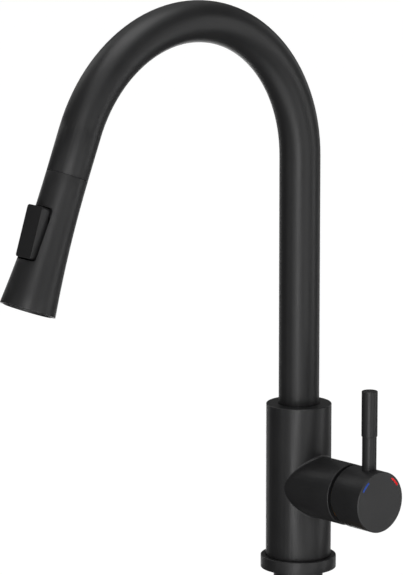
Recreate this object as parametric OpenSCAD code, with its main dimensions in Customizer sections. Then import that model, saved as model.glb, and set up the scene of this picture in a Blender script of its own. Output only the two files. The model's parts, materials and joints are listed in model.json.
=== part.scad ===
// Single-lever faucet with a gooseneck spout, a pull-down spray head and a side valve.
// Millimetres. The origin is the centre of the base ring's underside, on the deck.
// +Z is up, the spout reaches towards -Y and the handle stands out towards +X.

/* [Base] */
// Outer diameter of the base ring
ring_d = 52.2; // [51:0.1:60]
// Height of the base ring
ring_h = 8.6; // [8:0.1:10]
// Diameter of the locating neck that fills the hole in the deck
neck_d = 34; // [33.6:0.1:34.2]
// Length of the locating neck below the deck's top face
neck_len = 12; // [8:1:14]
// Length of the shank below the deck's top face
shank_len = 60; // [58:1:90]
// Deck thickness that the mounting nut is set for
deck_t = 30; // [26:1:34]

/* [Body] */
// Outer diameter of the upright body
body_d = 45; // [44.6:0.1:46]
// Height of the body's top above the deck
body_top = 115.7; // [114:0.1:130]
// Height of the valve's axis above the deck
hub_z = 60.1; // [59.5:0.1:61]
// Outer diameter of the side hub
hub_d = 42.2; // [42:0.1:43]
// Distance from the body's axis to the hub's end face
hub_end = 51.3; // [51.2:0.05:51.6]

/* [Handle] */
// Diameter of the handle's knob
knob_d = 42.1; // [41.8:0.1:42.4]
// Distance from the body's axis to the knob's end face
knob_end = 81; // [79:0.5:84]
// Distance from the body's axis to the lever rod
lever_x = 70; // [69:0.5:71]
// Diameter of the lever rod
rod_d = 9.9; // [9.5:0.1:10.4]
// Diameter of the grip on the lever rod
grip_d = 10.95; // [10.8:0.05:12]
// Height of the grip's lower edge above the deck
grip_z = 104.2; // [95:0.1:110]
// Height of the lever's top above the deck
lever_top = 135.7; // [125:0.1:150]

/* [Spout] */
// Outer diameter of the spout tube
tube_d = 28; // [27.9:0.1:28.1]
// Wall thickness of the spout tube
tube_wall = 1.5; // [1.4:0.1:1.6]
// Height at which the riser turns into the bend
riser_top = 287.8; // [200:0.1:320]
// Radius of the bend at the tube's centre line
bend_r = 101.7; // [80:0.1:120]
// Angle that the bend turns through
bend_angle = 157.9; // [135:0.1:170]
// Length of the straight leg after the bend
leg_len = 29.6; // [29.4:0.1:29.8]
// Outer diameter of the pull-out hose
hose_d = 12; // [11:0.1:12.2]

/* [Spray head] */
// Distance from the bend's end to the head's outlet rim
head_end = 121; // [120.5:0.1:121.5]
// Radius of the long curve that flares the head
flare_r = 856; // [840:1:900]
// Wall thickness of the head's shell
shell_wall = 1.7; // [1.6:0.1:1.8]
// Width of the spray rocker
rocker_w = 14.8; // [14.6:0.1:15]
// Number of nozzles in the outer ring
outer_nozzles = 20; // [8:1:22]
// Number of nozzles in the inner ring
inner_nozzles = 14; // [8:1:16]

/* [Hidden] */
$fn = 96;

// Colours
black_coat = [0.14, 0.14, 0.145];
dark_plastic = [0.05, 0.05, 0.055];
brass_color = [0.72, 0.56, 0.3];
steel_color = [0.7, 0.71, 0.73];
rubber_color = [0.07, 0.07, 0.07];
white_plastic = [0.86, 0.86, 0.84];
ceramic_color = [0.93, 0.92, 0.88];
silicone_color = [0.25, 0.25, 0.26];
cold_color = [0.1, 0.27, 0.62];
hot_color = [0.86, 0.1, 0.13];

eps = 0.01; // overshoot of a cut past the face it opens

// Base and body
ring_r = ring_d / 2;
body_r = body_d / 2;
hub_r = hub_d / 2;
edge_break = 0.4;
ring_floor = 3; // height of the ledge inside the ring that the body stands on
reveal = 0.4; // open line between the ring's top and the body's full diameter
cavity_r = 19.5;
cavity_floor = 13;
cavity_top = 83;
body_thread_r = 16.4;
shank_bore_r = 13.6;
shank_thread_r = 16;
hub_bore_r = 18.1;
hub_bore_start = 8.6;
seal_in_r = 19.5;
seal_out_r = 24.5;
seal_h = 1.6;

// Spout swivel
tube_r = tube_d / 2;
tube_in_r = tube_r - tube_wall;
tube_low_z = 84.5;
sleeve_drop = 5.5;
swivel_bore_r = 16.5;
swivel_floor = 86;
swivel_roof = body_top - 3;
lip_gap = 0.35;
bush_gap = 0.1;
clip_z = 81.1;
clip_t = 1.2;

// Valve, measured along the hub's axis
manifold_x = 9;
manifold_face = 23.5;
manifold_r = 17.9;
port_r = 3.1;
port_y = 9.5; // inlet ports, each side of the axis
port_z = -7.5; // inlet ports, below the axis
outlet_port_z = 9.9;
socket_ring_r = 13; // sockets stand on this circle about the body's axis
socket_boss_r = 5.9;
socket_r = 4.5;
socket_mouth_z = 30;
socket_depth = 12;
yoke_low_z = 42;
yoke_top_z = 58;
cartridge_r = 17.5;
cartridge_in_r = 15.4;
cartridge_floor = 27;
cartridge_roof = 45;
cartridge_end = 47;
throat_r = 13.2;
disc_gap = 0.05;
fixed_disc_end = 30;
moving_disc_end = 33;
driver_end = 36.2;
moving_r = 12.2;
pivot_x = 40;
carrier_start = 36.5;
dome_r = 15.7;
dome_x = 49;
stem_w = 7;
stem_ball_x = 35.5;
stem_ball_r = 2.2;
stem_end = 72;
pin_r = 1.5;

// Handle
knob_r = knob_d / 2;
knob_back = 54.4;
bevel_z = -1; // height, from the valve's axis, where the knob's rear bevel starts
bevel_slope = 0.27;
skirt_in_r = 19.4;
knob_floor = 62;
rod_r = rod_d / 2;
grip_r = grip_d / 2;
spigot_r = 4;
rod_seat = 19.5; // height of the rod's seat above the valve's axis
spigot_low = 13;
set_screw_x = 67;
mark_r = 18.6;
mark_w = 1.3;
mark_span = 24;
mark_angle = 47;
mark_depth = 0.4;

// Spout's straight leg: local Z runs down the leg, local Y faces the front
bend_u = bend_r * (1 - cos(bend_angle));
bend_z = riser_top + bend_r * sin(bend_angle);
hose_r = hose_d / 2;
hose_bore_r = 4;
hose_low_z = -66;
ferrule_s = 8;
seam_gap = 0.3;
head_top = leg_len + seam_gap;
nose_top = 12;
nose_r = 9.8;
nose_bore_r = 8;
nose_flange_end = 36.7;

// Rocker, in the leg's frame
rocker_top_s = 54.8;
rocker_low_s = 89.5;
rocker_top_y = 19.1;
rocker_low_y = 16.8;
rocker_pin_s = 72.3;
rocker_pin_y = 12.8;
rocker_pin_r = 1.2;
rocker_corner_r = 1.8;
slot_gap = 1.6;
slot_end_gap = 1;
rocker_skin = 0.6; // left of each flank outside the pin's blind hole
plunger_s = 62;
plunger_r = 2.5;

module leg() {
    translate([0, -bend_u, bend_z])
        rotate([bend_angle, 0, 0])
            children();
}

// Moves things drawn about Z so that they lie about the valve's axis, with Z running towards +X
module on_hub(x = 0) {
    translate([x, 0, hub_z])
        rotate([0, 90, 0])
            children();
}

module ring(outer_r, inner_r, z_low, z_top) {
    translate([0, 0, z_low])
        difference() {
            cylinder(r = outer_r, h = z_top - z_low);
            translate([0, 0, -1])
                cylinder(r = inner_r, h = z_top - z_low + 2);
        }
}

module disc(radius, z_low, z_top) {
    translate([0, 0, z_low])
        cylinder(r = radius, h = z_top - z_low);
}

// A disc whose upper edge is broken by a small chamfer
module topped_disc(radius, z_low, z_top, break = edge_break) {
    translate([0, 0, z_low])
        cylinder(r = radius, h = z_top - z_low - break);
    translate([0, 0, z_top - break])
        cylinder(r1 = radius, r2 = radius - break, h = break);
}

module o_ring(centre_r, cord_r, z = 0) {
    translate([0, 0, z])
        rotate_extrude()
            translate([centre_r, 0])
                circle(r = cord_r, $fn = 32);
}

// A tube along the spout's centre line, from z_low up the riser, round the bend and down the leg
// The leg is a hair thicker than the bend and starts just inside it, so the two are one solid.
module gooseneck(z_low, s_end, outer_r, inner_r) {
    hair = 0.005;
    overlap = 0.3;
    ring(outer_r, inner_r, z_low, riser_top);
    translate([0, -bend_r, riser_top])
        rotate([90, 0, 90])
            rotate_extrude(angle = bend_angle, $fn = 180)
                translate([bend_r, 0])
                    difference() {
                        circle(r = outer_r);
                        circle(r = inner_r);
                    }
    leg()
        ring(outer_r + hair, inner_r - hair, -overlap, s_end);
}

// ---- Base and body ----

module base_ring() {
    color(black_coat)
        difference() {
            topped_disc(ring_r, 0, ring_h);
            disc(body_r + 0.25, ring_floor, ring_h + 1);
            disc(neck_d / 2 + 0.2, -1, ring_floor + 1);
            ring(seal_out_r, seal_in_r, -1, seal_h);
        }
}

module deck_seal() {
    color(rubber_color)
        ring(seal_out_r, seal_in_r, 0, seal_h);
}

module main_body() {
    color(black_coat)
        difference() {
            union() {
                disc(body_r - 0.5, ring_floor, ring_h + reveal + eps);
                topped_disc(body_r, ring_h + reveal, body_top);
            }
            disc(body_thread_r, 0, cavity_floor + 1);
            disc(cavity_r, cavity_floor, cavity_top);
            disc(tube_r + lip_gap, cavity_top - 1, body_top + 1);
            disc(swivel_bore_r, swivel_floor, swivel_roof);
            on_hub()
                disc(hub_bore_r, hub_bore_start, body_r + 1);
        }
}

// The hub that is brazed onto the body's side and holds the cartridge
module valve_housing() {
    hub_edge = 0.25;
    color(black_coat)
        difference() {
            on_hub()
                topped_disc(hub_r, 0, hub_end, hub_edge);
            disc(body_r, ring_h, body_top);
            on_hub()
                disc(hub_bore_r, 0, hub_end + 1);
        }
}

module shank() {
    thread_pitch = 2;
    thread_depth = 0.9;
    threads = floor((shank_len - neck_len - 4) / thread_pitch);
    color(brass_color)
        difference() {
            union() {
                disc(shank_thread_r, -shank_len, -neck_len);
                disc(neck_d / 2, -neck_len, 0);
                disc(body_thread_r, 0, cavity_floor);
            }
            disc(shank_bore_r, -shank_len - 1, cavity_floor + 1);
            translate([0, 0, -shank_len])
                rotate_extrude()
                    for (i = [0 : threads - 1])
                        translate([shank_thread_r, 1.5 + i * thread_pitch])
                            polygon([[0.5, 0], [-thread_depth, thread_pitch / 2], [0.5, thread_pitch]]);
        }
}

module mounting_stack(z_low, z_top, outer_r, inner_r) {
    translate([0, 0, -deck_t])
        ring(outer_r, inner_r, z_low, z_top);
}

nut_top = -5;
nut_low = -15;
nut_r = 24;
clamp_screw_r = 2.5;
clamp_screw_ring = 20.4;
clamp_screws = 3;

module rubber_washer() {
    color(rubber_color)
        mounting_stack(-3, 0, 27, neck_d / 2 + 0.6);
}

module clamp_washer() {
    color(steel_color)
        mounting_stack(nut_top, -3, 26, neck_d / 2 + 0.6);
}

module mounting_nut() {
    wings = 3;
    color(brass_color)
        difference() {
            union() {
                mounting_stack(nut_low, nut_top, nut_r, shank_thread_r + 0.35);
                for (i = [0 : wings - 1])
                    rotate([0, 0, 60 + i * 360 / wings])
                        translate([nut_r - 1, -3, nut_low - deck_t])
                            cube([5, 6, nut_top - nut_low]);
            }
            for (i = [0 : clamp_screws - 1])
                rotate([0, 0, i * 360 / clamp_screws])
                    translate([clamp_screw_ring, 0, nut_low - deck_t - 1])
                        cylinder(r = clamp_screw_r, h = nut_top - nut_low + 2);
        }
}

module nut_clamp_screws() {
    color(steel_color)
        for (i = [0 : clamp_screws - 1])
            rotate([0, 0, i * 360 / clamp_screws])
                translate([clamp_screw_ring, 0, -deck_t]) {
                    disc(clamp_screw_r, nut_low - 3, nut_top);
                    difference() {
                        disc(4, nut_low - 6, nut_low - 3);
                        translate([-5, -0.5, nut_low - 7])
                            cube([10, 1, 2.4]);
                        translate([-0.5, -5, nut_low - 7])
                            cube([1, 10, 2.4]);
                    }
                }
}

module upper_swivel_bush() {
    color(white_plastic)
        ring(swivel_bore_r, tube_r + bush_gap, swivel_roof - 10, swivel_roof);
}

module lower_swivel_bush() {
    color(white_plastic)
        ring(swivel_bore_r, tube_r + bush_gap, swivel_floor, swivel_floor + 7);
}

// ---- Valve ----

// Angles of the hot socket, the outlet socket and the cold socket about the body's axis
socket_angles = [60, 0, -60];

module each_socket() {
    for (angle = socket_angles)
        translate([socket_ring_r * cos(angle), socket_ring_r * sin(angle), 0])
            children();
}

module port_holes(x_low, x_top, radius) {
    for (side = [-1, 1])
        translate([0, side * port_y, port_z])
            on_hub()
                disc(radius, x_low, x_top);
    translate([0, 0, outlet_port_z])
        on_hub()
            disc(radius, x_low, x_top);
}

module valve_manifold() {
    passage_r = 3;
    cross_r = 2.7;
    color(brass_color)
        difference() {
            union() {
                on_hub()
                    disc(manifold_r, manifold_x, manifold_face);
                intersection() {
                    disc(cavity_r - 0.3, yoke_low_z, yoke_top_z);
                    translate([1, -cavity_r, yoke_low_z])
                        cube([cavity_r - 3, 2 * cavity_r, yoke_top_z - yoke_low_z]);
                }
                each_socket()
                    disc(socket_boss_r, socket_mouth_z, yoke_low_z + eps);
            }
            disc(hose_r + 0.8, 0, body_top);
            each_socket()
                disc(socket_r, socket_mouth_z - 1, socket_mouth_z + socket_depth);
            for (angle = [60, -60])
                translate([socket_ring_r * cos(angle), socket_ring_r * sin(angle), 0])
                    disc(passage_r, socket_mouth_z, hub_z + port_z + 2);
            translate([socket_ring_r, 0, 0])
                disc(passage_r, socket_mouth_z, hub_z + outlet_port_z + 1);
            for (side = [-1, 1])
                translate([0, side * port_y, port_z])
                    on_hub()
                        disc(cross_r, socket_ring_r * cos(60), manifold_face + 1);
            translate([0, 0, outlet_port_z])
                on_hub()
                    disc(cross_r, socket_ring_r, manifold_face + 1);
        }
}

port_seal_r = 4.9;
port_seal_end = 25.1;

module cartridge_seals() {
    color(rubber_color)
        difference() {
            port_holes(manifold_face, port_seal_end, port_seal_r);
            port_holes(manifold_face - 1, port_seal_end + 1, port_r);
        }
}

module cartridge_housing() {
    color(white_plastic)
        difference() {
            on_hub()
                disc(cartridge_r, manifold_face, cartridge_end);
            on_hub()
                disc(cartridge_in_r, cartridge_floor, cartridge_roof);
            on_hub()
                disc(throat_r, cartridge_roof - 1, cartridge_end + 1);
            port_holes(manifold_face - 1, port_seal_end, port_seal_r);
            port_holes(manifold_face - 1, cartridge_floor + 1, port_r);
        }
}

module fixed_disc() {
    color(ceramic_color)
        difference() {
            on_hub()
                disc(cartridge_in_r - 0.1, cartridge_floor, fixed_disc_end);
            port_holes(cartridge_floor - 1, fixed_disc_end + 1, port_r);
        }
}

// The pocket in the moving disc joins the ports when the disc slides up
module moving_disc() {
    pocket_r = 5.6;
    color(ceramic_color)
        difference() {
            on_hub()
                disc(moving_r, fixed_disc_end + disc_gap, moving_disc_end);
            translate([0, 0, -1])
                on_hub()
                    disc(pocket_r, fixed_disc_end, fixed_disc_end + 1.6);
        }
}

module disc_driver() {
    slot_w = 2 * stem_ball_r + 0.5;
    color(white_plastic)
        difference() {
            on_hub()
                disc(moving_r, moving_disc_end, driver_end);
            translate([moving_disc_end - 1, -slot_w / 2, hub_z - slot_w / 2])
                cube([driver_end - moving_disc_end + 2, slot_w, slot_w]);
        }
}

module lever_carrier() {
    slot_w = stem_w + 0.6;
    color(dark_plastic)
        difference() {
            on_hub()
                rotate_extrude() {
                    translate([0, carrier_start])
                        square([cartridge_in_r - 0.3, cartridge_roof - 0.3 - carrier_start]);
                    translate([0, carrier_start])
                        square([throat_r - 0.3, dome_x - carrier_start]);
                    intersection() {
                        translate([0, pivot_x])
                            circle(r = dome_r);
                        translate([0, dome_x])
                            square(dome_r);
                    }
                }
            translate([pivot_x, -slot_w / 2, hub_z - 9.6])
                cube([dome_r + 1, slot_w, 9.6 + 4.2]);
            translate([carrier_start - 1, -slot_w / 2, hub_z - 4.6])
                cube([pivot_x - carrier_start + 2, slot_w, 9.2]);
            translate([pivot_x, 0, hub_z])
                rotate([90, 0, 0])
                    disc(pin_r, -20, 20);
        }
}

module pivot_pin() {
    pin_half = 13;
    color(steel_color)
        translate([pivot_x, 0, hub_z])
            rotate([90, 0, 0])
                disc(pin_r, -pin_half, pin_half);
}

module cartridge_nut() {
    notch_w = 4;
    color(brass_color)
        difference() {
            on_hub()
                ring(hub_bore_r, throat_r + 0.3, cartridge_end, hub_end - 1.2);
            for (i = [0 : 3])
                translate([0, 0, hub_z])
                    rotate([45 + 90 * i, 0, 0])
                        translate([hub_end - 3.4, -notch_w / 2, 15.6])
                            cube([4, notch_w, 4]);
        }
}

module cartridge_stem() {
    neck_r = 1.7;
    body_start = 37.5;
    color(steel_color)
        difference() {
            union() {
                translate([stem_ball_x, 0, hub_z])
                    sphere(r = stem_ball_r);
                on_hub()
                    disc(neck_r, stem_ball_x, body_start + 1);
                translate([body_start, -stem_w / 2, hub_z - stem_w / 2])
                    cube([stem_end - body_start, stem_w, stem_w]);
            }
            translate([pivot_x, 0, hub_z])
                rotate([90, 0, 0])
                    disc(pin_r + 0.05, -stem_w, stem_w);
        }
}

// ---- Handle ----

// The space behind the knob: square to the axis above, bevelled below so the knob can tilt
module knob_rear_cut() {
    drop = knob_r + 2;
    translate([0, knob_r + 1, hub_z])
        rotate([90, 0, 0])
            linear_extrude(2 * knob_r + 2)
                polygon([
                    [knob_back - 20, knob_r + 1],
                    [knob_back, knob_r + 1],
                    [knob_back, bevel_z],
                    [knob_back + (drop + bevel_z) * bevel_slope, -drop],
                    [knob_back - 20, -drop],
                ]);
}

module mark_arc(side, x_low, x_top) {
    on_hub()
        translate([0, 0, x_low])
            rotate([0, 0, 180 - side * mark_angle - mark_span / 2])
                rotate_extrude(angle = mark_span)
                    translate([mark_r - mark_w / 2, 0])
                        square([mark_w, x_top - x_low]);
}

module handle_knob() {
    socket_w = stem_w + 0.1;
    color(black_coat)
        difference() {
            on_hub()
                topped_disc(knob_r, knob_back - 2, knob_end);
            knob_rear_cut();
            on_hub()
                disc(skirt_in_r, knob_back - 3, knob_floor);
            translate([knob_floor - 1, -socket_w / 2, hub_z - socket_w / 2])
                cube([stem_end - knob_floor + 1.5, socket_w, socket_w]);
            translate([lever_x, 0, hub_z]) {
                disc(spigot_r, spigot_low, knob_r);
                disc(rod_r + 0.02, rod_seat, knob_r + 2);
            }
            translate([set_screw_x, 0, hub_z]) {
                disc(2.5, -knob_r - 1, 0);
                disc(3, -knob_r - 1, -knob_r + 3);
            }
            mark_arc(-1, knob_end - mark_depth, knob_end + 1);
            mark_arc(1, knob_end - mark_depth, knob_end + 1);
        }
}

module cold_mark() {
    color(cold_color)
        mark_arc(-1, knob_end - mark_depth, knob_end + 0.03);
}

module hot_mark() {
    color(hot_color)
        mark_arc(1, knob_end - mark_depth, knob_end + 0.03);
}

module lever_rod() {
    color(black_coat)
        translate([lever_x, 0, 0]) {
            disc(spigot_r, hub_z + spigot_low, hub_z + rod_seat);
            disc(rod_r, hub_z + rod_seat, grip_z);
            disc(spigot_r, grip_z, lever_top - 5);
        }
}

module lever_grip() {
    edge = 0.35;
    color(black_coat)
        translate([lever_x, 0, 0])
            difference() {
                union() {
                    translate([0, 0, grip_z])
                        cylinder(r1 = grip_r - edge, r2 = grip_r, h = edge);
                    topped_disc(grip_r, grip_z + edge, lever_top, edge);
                }
                disc(spigot_r, grip_z - 1, lever_top - 5);
            }
}

module handle_set_screw() {
    color(steel_color)
        translate([set_screw_x, 0, hub_z])
            difference() {
                disc(2.5, -12, -stem_w / 2);
                translate([0, 0, -13])
                    cylinder(r = 1.45, h = 4, $fn = 6);
            }
}

module set_screw_plug() {
    color(rubber_color)
        intersection() {
            translate([set_screw_x, 0, hub_z])
                disc(3, -knob_r - 1, -knob_r + 3);
            on_hub()
                disc(knob_r - 0.05, knob_back, knob_end);
        }
}

// ---- Spout ----

module spout_tube() {
    color(black_coat)
        gooseneck(tube_low_z, leg_len, tube_r, tube_in_r);
}

module swivel_sleeve() {
    color(brass_color)
        difference() {
            union() {
                disc(tube_r, tube_low_z - sleeve_drop, tube_low_z);
                disc(tube_in_r, tube_low_z, tube_low_z + 13);
            }
            disc(hose_r + 2, tube_low_z - sleeve_drop - 1, tube_low_z + 14);
            ring(tube_r + 1, 12.8, clip_z - 0.1, clip_z + clip_t + 0.1);
        }
}

module retaining_clip() {
    mouth = 12;
    color(steel_color)
        difference() {
            ring(swivel_bore_r - 0.1, 12.9, clip_z, clip_z + clip_t);
            translate([-mouth / 2, -20, clip_z - 1])
                cube([mouth, 12, clip_t + 2]);
        }
}

magnet_s = 12.5;
magnet_len = 5;

module docking_collar() {
    guide_r = nose_bore_r;
    bore_r = nose_r + 0.5;
    color(dark_plastic)
        leg()
            difference() {
                disc(tube_in_r - 0.05, 5, leg_len - 0.3);
                disc(guide_r, 4, 12);
                disc(bore_r, 9, leg_len);
                disc(tube_in_r - 0.4, magnet_s, magnet_s + magnet_len);
                translate([0, 0, leg_len - 2.3])
                    cylinder(r1 = bore_r, r2 = bore_r + 1.4, h = 2.3);
            }
}

module docking_magnet() {
    color(steel_color)
        leg()
            ring(tube_in_r - 0.4, nose_r + 0.55, magnet_s, magnet_s + magnet_len);
}

module spray_hose() {
    color(steel_color)
        gooseneck(hose_low_z, ferrule_s - seam_gap, hose_r, hose_bore_r);
}

module hose_connector() {
    ferrule_r = hose_r + 1.3;
    collar_z = hose_low_z - 12;
    hex_z = collar_z - 6;
    tip_z = hex_z - 12;
    color(brass_color)
        difference() {
            union() {
                disc(ferrule_r, collar_z, hose_low_z + 14);
                translate([0, 0, hex_z])
                    cylinder(r = 8.1, h = 6, $fn = 6);
                disc(4.5, tip_z, hex_z + eps);
            }
            disc(hose_r, hose_low_z, hose_low_z + 15);
            disc(2.8, tip_z - 1, hose_low_z + 1);
            ring(6, 3.6, hex_z - 6, hex_z - 4.2);
        }
}

module connector_seal() {
    color(rubber_color)
        o_ring(4.3, 0.7, hose_low_z - 23.1);
}

// ---- Hose end ----

module hose_ferrule() {
    color(steel_color)
        leg()
            ring(hose_r + 1.3, hose_r + 0.1, ferrule_s, 24);
}

module hose_stem() {
    color(brass_color)
        leg()
            difference() {
                union() {
                    disc(hose_bore_r, ferrule_s + 1, 24);
                    disc(hose_r + 1.3, 24, 27.5);
                    disc(5.2, 27.5, 33.6);
                    disc(7.6, 33.6, 36.4);
                    disc(4.9, 36.4, 44);
                }
                disc(2.8, ferrule_s, 45);
                ring(6, 3.9, 39, 41);
            }
}

module stem_seal() {
    color(rubber_color)
        leg()
            o_ring(4.42, 0.5, 40);
}

// ---- Spray head ----

// The outline right of the axis that lies inside the flare, grown or shrunk by a wall
module flare_outline(wall, s_low, s_end) {
    difference() {
        translate([0, s_low])
            square([tube_r + 8, s_end - s_low]);
        translate([tube_r + flare_r, 30])
            circle(r = flare_r + wall, $fn = 256);
    }
}

module rocker_column(margin, end_margin, y_low, y_top) {
    half_w = rocker_w / 2 + margin;
    s_low = rocker_top_s - end_margin;
    s_top = rocker_low_s + end_margin;
    corner = rocker_corner_r;
    translate([0, y_top, 0])
        rotate([90, 0, 0])
            linear_extrude(y_top - y_low) {
                translate([-half_w + corner, s_low])
                    square([2 * (half_w - corner), s_top - s_low]);
                translate([-half_w, s_low + corner])
                    square([2 * half_w, s_top - s_low - 2 * corner]);
                for (x = [-1, 1])
                    for (s = [s_low + corner, s_top - corner])
                        translate([x * (half_w - corner), s])
                            circle(r = corner, $fn = 32);
            }
}

module spray_shell() {
    color(black_coat)
        leg()
            difference() {
                rotate_extrude()
                    difference() {
                        flare_outline(0, head_top, head_end);
                        flare_outline(shell_wall, head_top - 1, head_end + 1);
                    }
                rocker_column(slot_gap, slot_end_gap, 6, 25);
            }
}

module docking_nose() {
    keeper_depth = 0.8;
    color(dark_plastic)
        leg()
            difference() {
                union() {
                    disc(nose_r, nose_top + 1, head_top + 1);
                    translate([0, 0, nose_top])
                        cylinder(r1 = nose_r - 1, r2 = nose_r, h = 1);
                    disc(tube_r - shell_wall - 0.1, head_top, nose_flange_end);
                }
                disc(nose_bore_r, nose_top - 1, nose_flange_end + 1);
                ring(nose_r + 1, nose_r - keeper_depth, magnet_s, magnet_s + magnet_len);
            }
}

module keeper_ring() {
    color(steel_color)
        leg()
            ring(nose_r, nose_r - 0.8, magnet_s, magnet_s + magnet_len);
}

module stem_retainer() {
    color(steel_color)
        leg()
            ring(nose_bore_r, 5.5, 30.4, 33.3);
}

waterway_r = 8.5;
inlet_bore_r = 5;
inlet_bore_end = 56;
chamber_s = 104;

module waterway() {
    ear_x = 2.6;
    ear_t = 1.8;
    ear_r = 2.2;
    color(dark_plastic)
        leg()
            difference() {
                union() {
                    disc(tube_r - shell_wall - 0.1, nose_flange_end, nose_flange_end + 3);
                    disc(waterway_r, nose_flange_end, chamber_s + 1);
                    disc(15.4, chamber_s, 110);
                    translate([0, 11, plunger_s])
                        rotate([90, 0, 0])
                            cylinder(r = 4.4, h = 8);
                    for (side = [-1, 1])
                        translate([side * (ear_x + ear_t / 2) - ear_t / 2, 0, 0]) {
                            translate([0, 5, rocker_pin_s - ear_r])
                                cube([ear_t, rocker_pin_y - 5, 2 * ear_r]);
                            translate([0, rocker_pin_y, rocker_pin_s])
                                rotate([0, 90, 0])
                                    cylinder(r = ear_r, h = ear_t);
                        }
                }
                disc(inlet_bore_r, nose_flange_end - 1, inlet_bore_end);
                disc(3.2, inlet_bore_end - 1, chamber_s + 1);
                disc(13.6, chamber_s + 3, 111);
                disc(3.2, chamber_s, chamber_s + 4);
                translate([0, 12, plunger_s])
                    rotate([90, 0, 0])
                        cylinder(r = plunger_r + 0.08, h = 20);
                translate([-6, rocker_pin_y, rocker_pin_s])
                    rotate([0, 90, 0])
                        cylinder(r = rocker_pin_r, h = 12);
            }
}

module inlet_filter() {
    color(white_plastic)
        leg()
            difference() {
                disc(inlet_bore_r - 0.05, 44.6, 46.4);
                for (i = [0 : 5])
                    rotate([0, 0, 60 * i])
                        translate([3, 0, 44])
                            cylinder(r = 0.9, h = 4);
                translate([0, 0, 44])
                    cylinder(r = 1.2, h = 4);
            }
}

module check_valve() {
    color(white_plastic)
        leg()
            difference() {
                disc(inlet_bore_r - 0.05, 47, 55);
                for (i = [0 : 3])
                    rotate([0, 0, 90 * i])
                        translate([2.9, 0, 46])
                            cylinder(r = 1.3, h = 10);
            }
}

module rocker_pin() {
    pin_half = rocker_w / 2 - rocker_skin - 0.1;
    color(steel_color)
        leg()
            translate([-pin_half, rocker_pin_y, rocker_pin_s])
                rotate([0, 90, 0])
                    cylinder(r = rocker_pin_r, h = 2 * pin_half);
}

module spray_rocker() {
    wall = 1.65;
    color(black_coat)
        leg()
            difference() {
                intersection() {
                    rocker_column(0, 0, 8, 20);
                    rotate([90, 0, 90])
                        translate([0, 0, -rocker_w])
                            linear_extrude(2 * rocker_w)
                                polygon([
                                    [rocker_top_y, rocker_top_s - 1],
                                    [rocker_top_y, rocker_top_s],
                                    [rocker_low_y, rocker_low_s],
                                    [rocker_low_y, rocker_low_s + 1],
                                    [11.8, rocker_low_s + 1],
                                    [10.7, rocker_pin_s + 4],
                                    [10.7, rocker_pin_s - 4],
                                    [11.6, plunger_s],
                                    [12.3, rocker_top_s - 1],
                                ]);
                }
                difference() {
                    rotate([90, 0, 90])
                        translate([0, 0, -rocker_w / 2 + wall])
                            linear_extrude(rocker_w - 2 * wall)
                                polygon([
                                    [rocker_top_y - 2, rocker_top_s + wall],
                                    [rocker_low_y - 1.8, rocker_low_s - wall],
                                    [8, rocker_low_s - wall],
                                    [8, rocker_top_s + wall],
                                ]);
                    translate([0, 19, plunger_s])
                        rotate([90, 0, 0])
                            cylinder(r = 1.5, h = 6);
                }
                translate([-rocker_w / 2 + rocker_skin, rocker_pin_y, rocker_pin_s])
                    rotate([0, 90, 0])
                        cylinder(r = rocker_pin_r + 0.06, h = rocker_w - 2 * rocker_skin);
            }
}

plunger_top = 12.5;
plunger_low = -6;
seal_places = [8.8, 5.2];
seal_groove_r = 1.7;

module diverter_plunger() {
    color(brass_color)
        leg()
            difference() {
                translate([0, plunger_top, plunger_s])
                    rotate([90, 0, 0])
                        cylinder(r = plunger_r, h = plunger_top - plunger_low);
                for (y = seal_places)
                    translate([0, y + 0.55, plunger_s])
                        rotate([90, 0, 0])
                            ring(plunger_r + 1, seal_groove_r, 0, 1.1);
            }
}

module plunger_seals() {
    color(rubber_color)
        leg()
            for (y = seal_places)
                translate([0, y, plunger_s])
                    rotate([90, 0, 0])
                        o_ring(2.1, 0.4);
}

aerator_r = 6.8;
nozzle_r = 0.85;
outer_ring_r = 12.4;
inner_ring_r = 9.3;

module nozzle_ring(count, circle_r) {
    for (i = [0 : count - 1])
        rotate([0, 0, 360 / count * i])
            translate([circle_r, 0, 0])
                children();
}

module each_nozzle() {
    nozzle_ring(outer_nozzles, outer_ring_r)
        children();
    nozzle_ring(inner_nozzles, inner_ring_r)
        children();
}

module nozzle_mat() {
    tip = 1.4;
    color(silicone_color)
        leg()
            difference() {
                union() {
                    ring(15.2, aerator_r + 0.1, 110, 112);
                    each_nozzle() {
                        disc(nozzle_r, 111, 119.4 - tip);
                        translate([0, 0, 119.4 - tip])
                            cylinder(r1 = nozzle_r, r2 = 0.6, h = tip);
                    }
                }
                each_nozzle()
                    disc(0.3, 109, 120);
            }
}

module spray_plate() {
    color(dark_plastic)
        leg()
            difference() {
                ring(14.6, aerator_r + 0.1, 112, 117.4);
                each_nozzle()
                    disc(nozzle_r + 0.05, 111, 119);
            }
}

module aerator() {
    color(dark_plastic)
        leg() {
            ring(aerator_r, aerator_r - 1.2, 109, 118.6);
            difference() {
                disc(aerator_r - 1.2, 109, 110.4);
                for (i = [0 : 5])
                    rotate([0, 0, 60 * i])
                        translate([3.4, 0, 108])
                            cylinder(r = 1, h = 4);
            }
        }
}

module aerator_screen() {
    bar_w = 0.5;
    pitch = 1.6;
    screen_r = aerator_r - 1.2;
    rows = floor(screen_r / pitch);
    color(steel_color)
        leg()
            intersection() {
                disc(screen_r, 116.8, 117.6);
                union() {
                    ring(screen_r + 1, screen_r - 0.5, 116.8, 117.6);
                    for (i = [-rows : rows])
                        for (turn = [0, 90])
                            rotate([0, 0, turn])
                                translate([i * pitch - bar_w / 2, -screen_r - 1, 116.8])
                                    cube([bar_w, 2 * screen_r + 2, 0.8]);
                }
            }
}

module aerator_seal() {
    color(rubber_color)
        leg()
            ring(aerator_r, 4.6, 107.4, 109);
}

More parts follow.
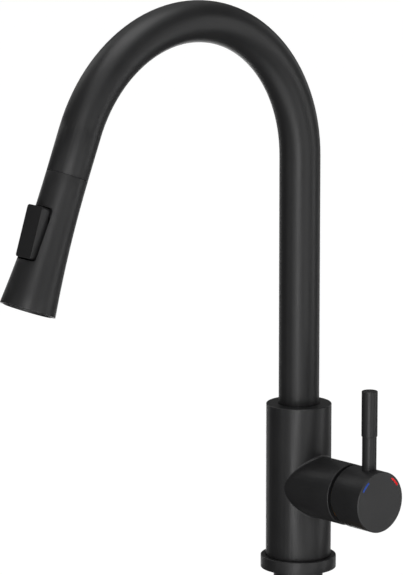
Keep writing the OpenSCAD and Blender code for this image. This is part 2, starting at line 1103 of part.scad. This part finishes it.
module outlet_ring() {
    lip = 0.5;
    ring_r_out = 16.5;
    color(dark_plastic)
        leg()
            difference() {
                union() {
                    disc(ring_r_out, 115.8, head_end + lip - 0.4);
                    translate([0, 0, head_end + lip - 0.4])
                        cylinder(r1 = ring_r_out, r2 = ring_r_out - 0.4, h = 0.4);
                }
                disc(14.6, 115, 118);
                translate([0, 0, 117.4])
                    cylinder(r1 = 14.4, r2 = 15.6, h = head_end + lip - 117.4 + eps);
                disc(14.4, 117, 118);
            }
}

base_ring();
deck_seal();
main_body();
valve_housing();
shank();
valve_manifold();
cartridge_seals();
cartridge_housing();
fixed_disc();
cartridge_nut();
upper_swivel_bush();
lower_swivel_bush();
mounting_nut();
clamp_washer();
rubber_washer();
nut_clamp_screws();
spout_tube();
swivel_sleeve();
retaining_clip();
docking_collar();
docking_magnet();
spray_hose();
hose_connector();
connector_seal();
hose_ferrule();
hose_stem();
stem_seal();
spray_shell();
docking_nose();
keeper_ring();
stem_retainer();
waterway();
inlet_filter();
check_valve();
rocker_pin();
nozzle_mat();
spray_plate();
aerator();
aerator_screen();
aerator_seal();
outlet_ring();
spray_rocker();
diverter_plunger();
plunger_seals();
lever_carrier();
pivot_pin();
disc_driver();
moving_disc();
cartridge_stem();
handle_knob();
lever_rod();
lever_grip();
handle_set_screw();
set_screw_plug();
cold_mark();
hot_mark();
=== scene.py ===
import json
import math

import bmesh
import bpy
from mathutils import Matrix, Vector


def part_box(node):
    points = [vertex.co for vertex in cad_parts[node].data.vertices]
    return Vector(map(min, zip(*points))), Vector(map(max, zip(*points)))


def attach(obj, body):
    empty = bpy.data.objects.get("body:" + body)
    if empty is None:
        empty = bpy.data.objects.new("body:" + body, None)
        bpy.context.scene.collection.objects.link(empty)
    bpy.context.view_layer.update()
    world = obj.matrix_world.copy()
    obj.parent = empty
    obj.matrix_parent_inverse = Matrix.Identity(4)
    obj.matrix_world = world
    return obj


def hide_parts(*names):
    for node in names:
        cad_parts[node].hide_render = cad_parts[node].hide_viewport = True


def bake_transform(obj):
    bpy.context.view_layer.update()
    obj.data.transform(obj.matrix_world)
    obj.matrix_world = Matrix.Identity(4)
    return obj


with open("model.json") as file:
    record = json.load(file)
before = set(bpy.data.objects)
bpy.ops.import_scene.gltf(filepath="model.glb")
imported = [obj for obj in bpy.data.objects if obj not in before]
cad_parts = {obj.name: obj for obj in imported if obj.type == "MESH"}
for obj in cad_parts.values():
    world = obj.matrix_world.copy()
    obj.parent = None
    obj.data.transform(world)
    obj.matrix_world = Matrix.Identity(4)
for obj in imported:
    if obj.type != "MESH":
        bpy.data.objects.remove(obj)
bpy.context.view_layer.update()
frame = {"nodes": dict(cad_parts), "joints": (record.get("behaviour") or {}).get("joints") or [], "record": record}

MM = 0.001

# ---- The object's own directions ----

UP = Vector((0, 0, 1))
BACK = Vector((0, 1, 0))
HUB = Vector((1, 0, 0))


def joint(name):
    return next(j for j in frame["joints"] if j["name"] == name)


LEG = Vector(joint("hose_pull")["axis"]).normalized()
FRONT = Vector((0, LEG.z, -LEG.y))
LEG_PIVOT = Vector(joint("head_swivel")["pos_m"])
PIVOT_STATION = 40 * MM
LEG_START = LEG_PIVOT - LEG * PIVOT_STATION


def leg_point(station, forward=0.0, side=0.0):
    """A point on the spout's straight leg, a distance down it from its start."""
    return LEG_START + LEG * station + FRONT * forward + HUB * side


# ---- Materials ----


def blank_material(name):
    """A new material with only its Principled shader: it, its nodes, its links and the shader."""
    material = bpy.data.materials.new(name)
    material.use_nodes = True
    tree = material.node_tree
    shader = next(n for n in tree.nodes if n.type == "BSDF_PRINCIPLED")
    return material, tree.nodes, tree.links, shader


def stretched_coordinates(nodes, links, axis, across, along):
    """Object coordinates, scaled by across, and by along in the direction of axis."""
    coordinates = nodes.new("ShaderNodeTexCoord")
    turned = nodes.new("ShaderNodeMapping")
    turned.vector_type = "POINT"
    turned.inputs["Rotation"].default_value = axis.rotation_difference(UP).to_euler()
    scaled = nodes.new("ShaderNodeMapping")
    scaled.inputs["Scale"].default_value = (across, across, along)
    links.new(coordinates.outputs["Object"], turned.inputs["Vector"])
    links.new(turned.outputs["Vector"], scaled.inputs["Vector"])
    return scaled.outputs["Vector"]


def noise(nodes, links, vector, scale, detail=3.0, roughness=0.55):
    texture = nodes.new("ShaderNodeTexNoise")
    texture.inputs["Scale"].default_value = scale
    texture.inputs["Detail"].default_value = detail
    texture.inputs["Roughness"].default_value = roughness
    links.new(vector, texture.inputs["Vector"])
    return texture.outputs["Fac"]


def object_coordinates(nodes):
    return nodes.new("ShaderNodeTexCoord").outputs["Object"]


def ramp(nodes, links, value, low, high, start=0.3, end=0.7):
    """A colour between low and high as value goes from start to end."""
    mixer = nodes.new("ShaderNodeValToRGB")
    mixer.color_ramp.elements[0].position = start
    mixer.color_ramp.elements[1].position = end
    mixer.color_ramp.elements[0].color = (*low, 1)
    mixer.color_ramp.elements[1].color = (*high, 1)
    links.new(value, mixer.inputs["Fac"])
    return mixer.outputs["Color"]


def spread(nodes, links, value, low, high, start=0.3, end=0.7):
    """A number between low and high as value goes from start to end."""
    mapper = nodes.new("ShaderNodeMapRange")
    mapper.inputs["From Min"].default_value = start
    mapper.inputs["From Max"].default_value = end
    mapper.inputs["To Min"].default_value = low
    mapper.inputs["To Max"].default_value = high
    links.new(value, mapper.inputs["Value"])
    return mapper.outputs["Result"]


def bump(nodes, links, height, depth, strength=1.0, under=None):
    """A normal raised by height, where depth is the height of a full step in metres."""
    raised = nodes.new("ShaderNodeBump")
    raised.inputs["Strength"].default_value = strength
    raised.inputs["Distance"].default_value = depth
    links.new(height, raised.inputs["Height"])
    if under:
        links.new(under, raised.inputs["Normal"])
    return raised.outputs["Normal"]


def edge_highlight_mask(nodes, links, radius):
    """1 along sharp edges and 0 on open faces."""
    rounded = nodes.new("ShaderNodeBevel")
    rounded.samples = 4
    rounded.inputs["Radius"].default_value = radius
    geometry = nodes.new("ShaderNodeNewGeometry")
    facing = nodes.new("ShaderNodeVectorMath")
    facing.operation = "DOT_PRODUCT"
    links.new(rounded.outputs["Normal"], facing.inputs[0])
    links.new(geometry.outputs["Normal"], facing.inputs[1])
    return spread(nodes, links, facing.outputs["Value"], low=1.0, high=0.0, start=0.86, end=0.99)


def mixed_colour(nodes, links, share, low, high):
    mixer = nodes.new("ShaderNodeMix")
    mixer.data_type = "RGBA"
    links.new(share, mixer.inputs["Factor"])
    for socket, colour in ((mixer.inputs["A"], low), (mixer.inputs["B"], high)):
        if isinstance(colour, tuple):
            socket.default_value = (*colour, 1)
        else:
            links.new(colour, socket)
    return mixer.outputs["Result"]


COAT_DARK = (0.0105, 0.0105, 0.011)
COAT_LIGHT = (0.0135, 0.0135, 0.014)
COAT_EDGE_HIGHLIGHT = (0.032, 0.032, 0.033)
COAT_ROUGHNESS = (0.39, 0.45)
COAT_SPECULAR = 0.5


def powder_coat():
    """Black powder coat: a fine pebbled skin, faint clouds in tone and gloss, and a painted highlight
    along the edges, which are painted a little lighter."""
    material, nodes, links, shader = blank_material("black_coat")
    place = object_coordinates(nodes)
    clouds = noise(nodes, links, place, scale=38, detail=4)
    base = ramp(nodes, links, clouds, COAT_DARK, COAT_LIGHT)
    # Painted highlight: sharp edges are painted lighter, standing in for light caught on their rounding.
    painted_edge_highlight = edge_highlight_mask(nodes, links, radius=0.45 * MM)
    links.new(mixed_colour(nodes, links, painted_edge_highlight, base, COAT_EDGE_HIGHLIGHT), shader.inputs["Base Color"])
    links.new(spread(nodes, links, clouds, *COAT_ROUGHNESS), shader.inputs["Roughness"])
    shader.inputs["Specular IOR Level"].default_value = COAT_SPECULAR
    pebbles = noise(nodes, links, place, scale=2400, detail=2, roughness=0.5)
    swell = noise(nodes, links, place, scale=420, detail=2, roughness=0.5)
    skin = bump(nodes, links, swell, 0.012 * MM)
    links.new(bump(nodes, links, pebbles, 0.014 * MM, under=skin), shader.inputs["Normal"])
    return material


PLASTIC_ROUGHNESS_SPREAD = 0.1


def moulded_plastic(name, low, high, roughness, grain=0.01 * MM):
    """Moulded plastic: a faint flow pattern in the tone and a fine spark-eroded grain."""
    material, nodes, links, shader = blank_material(name)
    place = object_coordinates(nodes)
    flow = noise(nodes, links, place, scale=90, detail=4)
    links.new(ramp(nodes, links, flow, low, high), shader.inputs["Base Color"])
    gloss = spread(nodes, links, flow, roughness, roughness + PLASTIC_ROUGHNESS_SPREAD)
    links.new(gloss, shader.inputs["Roughness"])
    texture = noise(nodes, links, place, scale=3200, detail=2, roughness=0.6)
    links.new(bump(nodes, links, texture, grain), shader.inputs["Normal"])
    return material


def dark_plastic():
    return moulded_plastic(
        "dark_plastic", low=(0.009, 0.009, 0.0095), high=(0.014, 0.014, 0.0145), roughness=0.42
    )


def white_plastic():
    material = moulded_plastic(
        "white_plastic", low=(0.62, 0.62, 0.6), high=(0.72, 0.72, 0.69), roughness=0.35
    )
    shader = material.node_tree.nodes["Principled BSDF"]
    shader.inputs["Subsurface Weight"].default_value = 0.15
    shader.inputs["Subsurface Radius"].default_value = (1.2 * MM, 1.0 * MM, 0.9 * MM)
    return material


def turned_metal(name, axis, low, high, edge_highlight_colour, roughness):
    """Metal turned on a lathe about axis: fine rings of tool marks, tarnish in patches and a painted
    highlight along the edges, which are painted brighter."""
    material, nodes, links, shader = blank_material(name)
    lathe = stretched_coordinates(nodes, links, axis, across=60, along=4200)
    rings = noise(nodes, links, lathe, scale=1, detail=3, roughness=0.7)
    place = object_coordinates(nodes)
    tarnish = noise(nodes, links, place, scale=160, detail=5, roughness=0.65)
    base = ramp(nodes, links, tarnish, low, high)
    # Painted highlight: sharp edges are painted brighter, standing in for light caught on their rounding.
    painted_bright_edges = edge_highlight_mask(nodes, links, radius=0.4 * MM)
    links.new(mixed_colour(nodes, links, painted_bright_edges, base, edge_highlight_colour), shader.inputs["Base Color"])
    shader.inputs["Metallic"].default_value = 1.0
    links.new(spread(nodes, links, rings, *roughness), shader.inputs["Roughness"])
    links.new(bump(nodes, links, rings, 0.012 * MM), shader.inputs["Normal"])
    return material


def brass(axis):
    return turned_metal(
        "brass",
        axis,
        low=(0.42, 0.27, 0.09),
        high=(0.58, 0.40, 0.15),
        edge_highlight_colour=(0.76, 0.57, 0.27),
        roughness=(0.24, 0.4),
    )


COATED_ABOVE = -12 * MM
COAT_EDGE = 0.1 * MM


def part_coated_brass(axis):
    """Turned brass whose upper part carries the black coat."""
    material = brass(axis)
    material.name = "part_coated_brass"
    nodes, links = material.node_tree.nodes, material.node_tree.links
    shader = nodes["Principled BSDF"]
    split = nodes.new("ShaderNodeSeparateXYZ")
    links.new(object_coordinates(nodes), split.inputs["Vector"])
    height = split.outputs["Z"]
    edge_low, edge_high = COATED_ABOVE - COAT_EDGE, COATED_ABOVE + COAT_EDGE
    share = spread(nodes, links, height, low=0.0, high=1.0, start=edge_low, end=edge_high)
    metal_colour = shader.inputs["Base Color"].links[0].from_socket
    colour = mixed_colour(nodes, links, share, metal_colour, COAT_LIGHT)
    links.new(colour, shader.inputs["Base Color"])
    metallic = spread(nodes, links, share, low=1.0, high=0.0, start=0.0, end=1.0)
    links.new(metallic, shader.inputs["Metallic"])
    metal_gloss = shader.inputs["Roughness"].links[0].from_socket
    gloss = nodes.new("ShaderNodeMix")
    links.new(share, gloss.inputs["Factor"])
    links.new(metal_gloss, gloss.inputs["A"])
    gloss.inputs["B"].default_value = COAT_ROUGHNESS[1]
    links.new(gloss.outputs["Result"], shader.inputs["Roughness"])
    return material


def steel(axis):
    return turned_metal(
        "steel",
        axis,
        low=(0.36, 0.37, 0.38),
        high=(0.52, 0.53, 0.55),
        edge_highlight_colour=(0.72, 0.73, 0.75),
        roughness=(0.2, 0.36),
    )


def rubber():
    """Black rubber with a pale bloom in patches."""
    material, nodes, links, shader = blank_material("rubber")
    place = object_coordinates(nodes)
    bloom = noise(nodes, links, place, scale=240, detail=5, roughness=0.7)
    base = ramp(nodes, links, bloom, (0.012, 0.012, 0.012), (0.034, 0.034, 0.033))
    links.new(base, shader.inputs["Base Color"])
    links.new(spread(nodes, links, bloom, 0.62, 0.85), shader.inputs["Roughness"])
    grain = noise(nodes, links, place, scale=1800, detail=3, roughness=0.6)
    links.new(bump(nodes, links, grain, 0.03 * MM), shader.inputs["Normal"])
    return material


def ceramic():
    """Lapped ceramic: near white, fine grained and glossy."""
    material, nodes, links, shader = blank_material("ceramic")
    place = object_coordinates(nodes)
    grain = noise(nodes, links, place, scale=900, detail=4, roughness=0.6)
    base = ramp(nodes, links, grain, (0.7, 0.67, 0.6), (0.84, 0.82, 0.77))
    links.new(base, shader.inputs["Base Color"])
    links.new(spread(nodes, links, grain, 0.12, 0.24), shader.inputs["Roughness"])
    links.new(bump(nodes, links, grain, 0.004 * MM), shader.inputs["Normal"])
    return material


def silicone():
    """Dark grey silicone: soft sheen, slightly cloudy."""
    material, nodes, links, shader = blank_material("silicone")
    place = object_coordinates(nodes)
    clouds = noise(nodes, links, place, scale=300, detail=4, roughness=0.6)
    base = ramp(nodes, links, clouds, (0.045, 0.046, 0.048), (0.07, 0.071, 0.073))
    links.new(base, shader.inputs["Base Color"])
    links.new(spread(nodes, links, clouds, 0.45, 0.6), shader.inputs["Roughness"])
    grain = noise(nodes, links, place, scale=2600, detail=2, roughness=0.6)
    links.new(bump(nodes, links, grain, 0.012 * MM), shader.inputs["Normal"])
    return material


def filled_mark(name, low, high):
    """Paint filled into a groove: strong colour, slightly uneven and glossy."""
    material, nodes, links, shader = blank_material(name)
    place = object_coordinates(nodes)
    pools = noise(nodes, links, place, scale=500, detail=3)
    links.new(ramp(nodes, links, pools, low, high), shader.inputs["Base Color"])
    links.new(spread(nodes, links, pools, 0.3, 0.42), shader.inputs["Roughness"])
    shader.inputs["Specular IOR Level"].default_value = 0.2
    links.new(bump(nodes, links, pools, 0.03 * MM), shader.inputs["Normal"])
    return material


def cold_blue():
    return filled_mark("cold_blue", (0.005, 0.05, 0.34), (0.012, 0.08, 0.46))


def hot_red():
    return filled_mark("hot_red", (0.72, 0.003, 0.006), (0.9, 0.008, 0.012))


BRAID_STRANDS = 24
BRAID_PITCH = 34 * MM
STRAND_STEP = BRAID_PITCH / BRAID_STRANDS


def hose_braid():
    """Woven nylon sleeve: two sets of strands wound opposite ways, over and under each other. It
    reads a map that holds turns around the hose and metres along it."""
    material, nodes, links, shader = blank_material("hose_braid")
    split = nodes.new("ShaderNodeSeparateXYZ")
    links.new(nodes.new("ShaderNodeUVMap").outputs["UV"], split.inputs["Vector"])

    def maths(operation, first, second=None):
        step = nodes.new("ShaderNodeMath")
        step.operation = operation
        for socket, value in zip(step.inputs, (first, second)):
            if isinstance(value, (int, float)):
                socket.default_value = value
            elif value is not None:
                links.new(value, socket)
        return step.outputs["Value"]

    around = maths("MULTIPLY", split.outputs["X"], BRAID_STRANDS)
    along = maths("MULTIPLY", split.outputs["Y"], 1 / STRAND_STEP)
    left = maths("ADD", around, along)
    right = maths("SUBTRACT", around, along)
    left_strand = maths("ABSOLUTE", maths("SINE", maths("MULTIPLY", left, math.pi)))
    right_strand = maths("ABSOLUTE", maths("SINE", maths("MULTIPLY", right, math.pi)))
    cells = maths("ADD", maths("FLOOR", left), maths("FLOOR", right))
    left_on_top = maths("GREATER_THAN", maths("PINGPONG", maths("MULTIPLY", cells, 0.5), 1.0), 0.5)
    top = nodes.new("ShaderNodeMix")
    links.new(left_on_top, top.inputs["Factor"])
    links.new(right_strand, top.inputs["A"])
    links.new(left_strand, top.inputs["B"])
    height = top.outputs["Result"]
    # Painted shade: the colour darkens towards each strand's edges, standing in for shade in the gaps between
    # strands.
    base = ramp(nodes, links, height, (0.012, 0.012, 0.013), (0.085, 0.086, 0.09), 0.1, 0.95)
    links.new(base, shader.inputs["Base Color"])
    links.new(spread(nodes, links, height, 0.8, 0.5, 0.0, 1.0), shader.inputs["Roughness"])
    links.new(bump(nodes, links, height, 0.25 * MM), shader.inputs["Normal"])
    shader.inputs["Sheen Weight"].default_value = 0.2
    return material


FINISHES = {
    "black_coat": powder_coat,
    "dark_plastic": dark_plastic,
    "rubber": rubber,
    "white_plastic": white_plastic,
    "ceramic": ceramic,
    "silicone": silicone,
    "hose_braid": hose_braid,
    "cold_blue": cold_blue,
    "hot_red": hot_red,
}
TURNED_FINISHES = {"brass": brass, "steel": steel}
# The axis that each metal piece was turned about, where it isn't upright
TURNED_ABOUT = {
    "valve_manifold": HUB,
    "cartridge_nut": HUB,
    "cartridge_stem": HUB,
    "pivot_pin": BACK,
    "hose_stem": LEG,
    "hose_ferrule": LEG,
    "keeper_ring": LEG,
    "stem_retainer": LEG,
    "docking_magnet": LEG,
    "aerator_screen": LEG,
    "diverter_plunger": FRONT,
    "rocker_pin": HUB,
}
made_finishes = {}


def finish_for(slot, axis=UP):
    """The material of a slot, made once, or once for each axis that it is turned about."""
    turned = slot in TURNED_FINISHES
    key = (slot, *(round(v, 3) for v in axis)) if turned else slot
    if key not in made_finishes:
        made_finishes[key] = TURNED_FINISHES[slot](axis) if turned else FINISHES[slot]()
    return made_finishes[key]


SLOT_OF = {part["node"]: part["material_slot"] for part in frame["record"]["subparts"]}
for node_name, slot_name in SLOT_OF.items():
    mesh = frame["nodes"][node_name].data
    mesh.materials.clear()
    if node_name == "shank":
        mesh.materials.append(part_coated_brass(UP))
    else:
        mesh.materials.append(finish_for(slot_name, TURNED_ABOUT.get(node_name, UP)))

# ---- Edges ----

SMOOTH_ANGLE = math.radians(32)
# The width of the rounding on each piece's sharp edges
EDGE_WIDTH = {
    "base_ring": 0.15 * MM,
    "main_body": 0.15 * MM,
    "valve_housing": 0.12 * MM,
    "spout_tube": 0.2 * MM,
    "spray_shell": 0.35 * MM,
    "spray_rocker": 0.5 * MM,
    "handle_knob": 0.45 * MM,
    "lever_rod": 0.3 * MM,
    "lever_grip": 0.4 * MM,
    "mounting_nut": 0.5 * MM,
    "clamp_washer": 0.3 * MM,
    "rubber_washer": 0.4 * MM,
    "hose_connector": 0.25 * MM,
    "nut_clamp_screws": 0.2 * MM,
    "outlet_ring": 0.25 * MM,
    "docking_collar": 0.2 * MM,
}
WELD_DISTANCE = 0.004 * MM


def round_edges(piece, width):
    weld = piece.modifiers.new("weld", "WELD")
    weld.merge_threshold = WELD_DISTANCE
    rounding = piece.modifiers.new("round_edges", "BEVEL")
    rounding.width = width
    rounding.segments = 3
    rounding.limit_method = "ANGLE"
    rounding.angle_limit = SMOOTH_ANGLE
    rounding.harden_normals = True
    rounding.use_clamp_overlap = True


for node_name, piece in frame["nodes"].items():
    if node_name in EDGE_WIDTH:
        round_edges(piece, EDGE_WIDTH[node_name])

# ---- New pieces ----


def object_from(build, name, material):
    """A new object in the scene with the faces drawn in build, which is used up."""
    mesh = bpy.data.meshes.new(name)
    build.to_mesh(mesh)
    build.free()
    made = bpy.data.objects.new(name, mesh)
    made.data.materials.append(material)
    bpy.context.scene.collection.objects.link(made)
    return made


# ---- The fillet where the hub meets the body ----

_, body_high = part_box("main_body")
hub_low, hub_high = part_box("valve_housing")
BODY_RADIUS = body_high.x
HUB_RADIUS = (hub_high.z - hub_low.z) / 2
HUB_HEIGHT = (hub_high.z + hub_low.z) / 2
FILLET_RADIUS = 1.3 * MM
FILLET_TURNS = 144
FILLET_STEPS = 8
FILLET_ROOT = 0.5 * MM
FILLET_SINK = 0.01 * MM


def fillet_section(turn):
    """The outline of the fillet at one turn about the hub: the hollow curve that a ball rolled in
    the corner would leave, closed by a point inside the metal."""
    from_hub = Vector((0, math.sin(turn), math.cos(turn)))
    middle = from_hub * (HUB_RADIUS + FILLET_RADIUS)
    middle.x = math.sqrt((BODY_RADIUS + FILLET_RADIUS) ** 2 - middle.y ** 2)
    from_body = Vector((middle.x, middle.y, 0)).normalized()
    outline = []
    for i in range(FILLET_STEPS + 1):
        facing = from_body.slerp(from_hub, i / FILLET_STEPS)
        outline.append(middle - facing * (FILLET_RADIUS + FILLET_SINK))
    corner = from_hub * HUB_RADIUS
    corner.x = math.sqrt(BODY_RADIUS ** 2 - corner.y ** 2)
    outline.append(corner - (from_body + from_hub).normalized() * FILLET_ROOT)
    return [point + UP * HUB_HEIGHT for point in outline]


def hub_fillet():
    build = bmesh.new()
    rings = []
    for i in range(FILLET_TURNS):
        section = fillet_section(math.tau * i / FILLET_TURNS)
        rings.append([build.verts.new(point) for point in section])
    for i, ring in enumerate(rings):
        following = rings[(i + 1) % FILLET_TURNS]
        for k in range(len(ring)):
            after = (k + 1) % len(ring)
            face = build.faces.new((ring[k], following[k], following[after], ring[after]))
            face.smooth = k < FILLET_STEPS
    bmesh.ops.recalc_face_normals(build, faces=build.faces)
    piece = object_from(build, "hub_fillet", finish_for("black_coat"))
    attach(piece, "valve_body")


hub_fillet()

# ---- The pull-out hose ----

hose_low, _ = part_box("spray_hose")
HOSE_RADIUS = 6 * MM
BEND_ANGLE = math.atan2(-LEG.y, LEG.z)
BEND_RADIUS = -LEG_START.y / (1 - math.cos(BEND_ANGLE))
RISER_TOP = LEG_START.z - BEND_RADIUS * math.sin(BEND_ANGLE)
HOSE_SIDES = 32
HOSE_STEP = 4 * MM
FERRULE_STATION = 22 * MM
JOIN_STATION = 5 * MM
FULL_PULL = joint("hose_pull")["range_m"][1]


def hose_line():
    """Points down the middle of the hose from its lower end to the join, and the length up to
    each."""
    points = []
    count = round((RISER_TOP - hose_low.z) / HOSE_STEP)
    for i in range(count):
        points.append(Vector((0, 0, hose_low.z + (RISER_TOP - hose_low.z) * i / count)))
    count = round(BEND_RADIUS * BEND_ANGLE / HOSE_STEP)
    for i in range(count + 1):
        angle = BEND_ANGLE * i / count
        out = BEND_RADIUS * (1 - math.cos(angle))
        points.append(Vector((0, -out, RISER_TOP + BEND_RADIUS * math.sin(angle))))
    points.append(leg_point(JOIN_STATION))
    lengths = [0.0]
    for a, b in zip(points, points[1:]):
        lengths.append(lengths[-1] + (b - a).length)
    return points, lengths


def tube_mesh(name, points, lengths):
    """A closed round tube along points, with a map of turns around it and metres along it."""
    build = bmesh.new()
    rings = []
    for i, point in enumerate(points):
        ahead = points[min(i + 1, len(points) - 1)] - points[max(i - 1, 0)]
        across = HUB.cross(ahead.normalized())
        ring = []
        for k in range(HOSE_SIDES):
            turn = math.tau * k / HOSE_SIDES
            outward = math.cos(turn) * HUB + math.sin(turn) * across
            ring.append(build.verts.new(point + HOSE_RADIUS * outward))
        rings.append(ring)
    layer = build.loops.layers.uv.new("UVMap")
    for i, (low, high) in enumerate(zip(rings, rings[1:])):
        for k in range(HOSE_SIDES):
            after = (k + 1) % HOSE_SIDES
            face = build.faces.new((low[k], low[after], high[after], high[k]))
            face.smooth = True
            corners = ((k, i), (k + 1, i), (k + 1, i + 1), (k, i + 1))
            for loop, (turn, at) in zip(face.loops, corners):
                loop[layer].uv = (turn / HOSE_SIDES, lengths[at])
    build.faces.new(list(reversed(rings[0])))
    build.faces.new(rings[-1])
    build.normal_update()
    bmesh.ops.recalc_face_normals(build, faces=build.faces)
    piece = object_from(build, name, finish_for("hose_braid"))
    return piece


line, line_lengths = hose_line()
hose_run = tube_mesh("spray_hose_run", line, line_lengths)
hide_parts("spray_hose")
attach(hose_run, "spout")

PAYOUT_RINGS = 72


def payout_line(length_before):
    """Points down the hose that is paid out as the head comes down, short at rest and stretched at
    the pull, and the length that its map holds at each, which is the length at the full pull."""
    points = []
    lengths = []
    for i in range(PAYOUT_RINGS + 1):
        share = i / PAYOUT_RINGS
        station = JOIN_STATION + (FERRULE_STATION - JOIN_STATION) * share
        points.append(leg_point(station))
        lengths.append(length_before + station + FULL_PULL * share * share * (3 - 2 * share))
    return points, lengths


hose_payout = tube_mesh("spray_hose_payout", *payout_line(line_lengths[-1]))
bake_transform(hose_payout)

# ---- Camera ----

CAMERA_AZIMUTH = math.radians(48.16)
CAMERA_HEIGHT = math.radians(11.44)
CAMERA_DISTANCE = 3.1035
CAMERA_LENS = 283.9
SENSOR = 36.0
TARGET = Vector((-0.0447, -0.0499, 0.1965))


def direction(azimuth, elevation):
    """The way from the object to a place, with azimuth 0 in front of it and growing towards the
    handle."""
    flat = math.cos(elevation)
    return Vector((math.sin(azimuth) * flat, -math.cos(azimuth) * flat, math.sin(elevation)))


camera = bpy.data.objects.new("camera", bpy.data.cameras.new("camera"))
bpy.context.scene.collection.objects.link(camera)
bpy.context.scene.camera = camera
camera.data.lens = CAMERA_LENS
camera.data.sensor_width = SENSOR
camera.data.clip_start = 0.1
camera.data.clip_end = 60
toward_camera = direction(CAMERA_AZIMUTH, CAMERA_HEIGHT)
camera.location = TARGET + toward_camera * CAMERA_DISTANCE
camera.rotation_euler = (-toward_camera).to_track_quat("-Z", "Y").to_euler()

# ---- Studio ----

# Each soft light: degrees round from the camera, degrees up, width and height in metres, and
# power in watts
LIGHTS = {
    "front_strip": (-6, -4, 0.35, 1.6, 10),
    "left_strip": (-30, 0, 0.35, 1.6, 1.6),
    "right_strip": (30, 0, 0.35, 1.6, 1.8),
    "far_left_strip": (-60, 0, 0.35, 1.6, 1.4),
    "far_right_strip": (47, -10, 0.55, 1.4, 3.2),
    "right_edge": (86, 0, 0.35, 1.6, 4.2),
    "overhead": (0, 86, 1.2, 1.2, 11),
    "high_left": (-125, 40, 0.8, 0.8, 1.8),
    "high_front": (0, 45, 1.2, 1.2, 3.5),
    "below": (0, -50, 1.2, 1.2, 6),
    "high_back": (180, 50, 1.2, 1.2, 1.2),
    "low_back": (180, -22, 1.0, 0.8, 5),
    "left_back": (-145, 0, 0.35, 1.6, 1.5),
    "right_back": (140, 0, 0.35, 1.6, 1.6),
}
LIGHT_DISTANCE = 1.6
AMBIENT = 0.085


def soft_light(name, around, up, width, height, power):
    light = bpy.data.objects.new(name, bpy.data.lights.new(name, "AREA"))
    light.data.shape = "RECTANGLE"
    light.data.size = width
    light.data.size_y = height
    light.data.energy = power
    way = direction(CAMERA_AZIMUTH + math.radians(around), math.radians(up))
    light.location = TARGET + way * LIGHT_DISTANCE
    light.rotation_euler = (-way).to_track_quat("-Z", "Y").to_euler()
    light.visible_camera = False
    bpy.context.scene.collection.objects.link(light)


for light_name, settings in LIGHTS.items():
    soft_light(light_name, *settings)

world = bpy.data.worlds.new("studio")
bpy.context.scene.world = world
world.use_nodes = True
world.node_tree.nodes["Background"].inputs["Color"].default_value = (1, 1, 1, 1)
world.node_tree.nodes["Background"].inputs["Strength"].default_value = AMBIENT

# The floor lies just below the head at its full pull
head_low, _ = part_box("outlet_ring")
FLOOR_GAP = 10 * MM
FLOOR_LEVEL = head_low.z + LEG.z * FULL_PULL - FLOOR_GAP
STUDIO_RADIUS = 14.0
STUDIO_GLOW = 1.0


def glow(shader):
    shader.inputs["Emission Color"].default_value = (1, 1, 1, 1)
    shader.inputs["Emission Strength"].default_value = STUDIO_GLOW


def floor_material():
    """Seamless paper lit from behind. Its brightness is all its own glow and its base is nearly
    black, so the lights on the object leave no mark on it."""
    material, nodes, links, shader = blank_material("studio_paper")
    fibres = noise(nodes, links, object_coordinates(nodes), scale=30, detail=3)
    base = ramp(nodes, links, fibres, (0.03, 0.03, 0.03), (0.045, 0.045, 0.045))
    links.new(base, shader.inputs["Base Color"])
    shader.inputs["Roughness"].default_value = 0.9
    shader.inputs["Specular IOR Level"].default_value = 0.0
    glow(shader)
    return material


def backdrop_material():
    material, _, _, shader = blank_material("studio_backdrop")
    shader.inputs["Base Color"].default_value = (0, 0, 0, 1)
    glow(shader)
    return material


def studio_shell(name, material, shape, **settings):
    """A part of the studio that only the camera sees, so it throws no light back on the object."""
    build = bmesh.new()
    shape(build, radius=STUDIO_RADIUS, **settings)
    shell = object_from(build, name, material)
    shell.visible_diffuse = False
    shell.visible_glossy = False
    shell.visible_transmission = False
    shell.visible_shadow = False
    return shell


floor = studio_shell("floor", floor_material(), bmesh.ops.create_circle, cap_ends=True, segments=64)
floor.location.z = FLOOR_LEVEL
studio_shell(
    "backdrop", backdrop_material(), bmesh.ops.create_uvsphere, u_segments=48, v_segments=24
)

bpy.context.scene.view_settings.view_transform = "Standard"
bpy.context.scene.view_settings.look = "None"

bpy.context.view_layer.update()
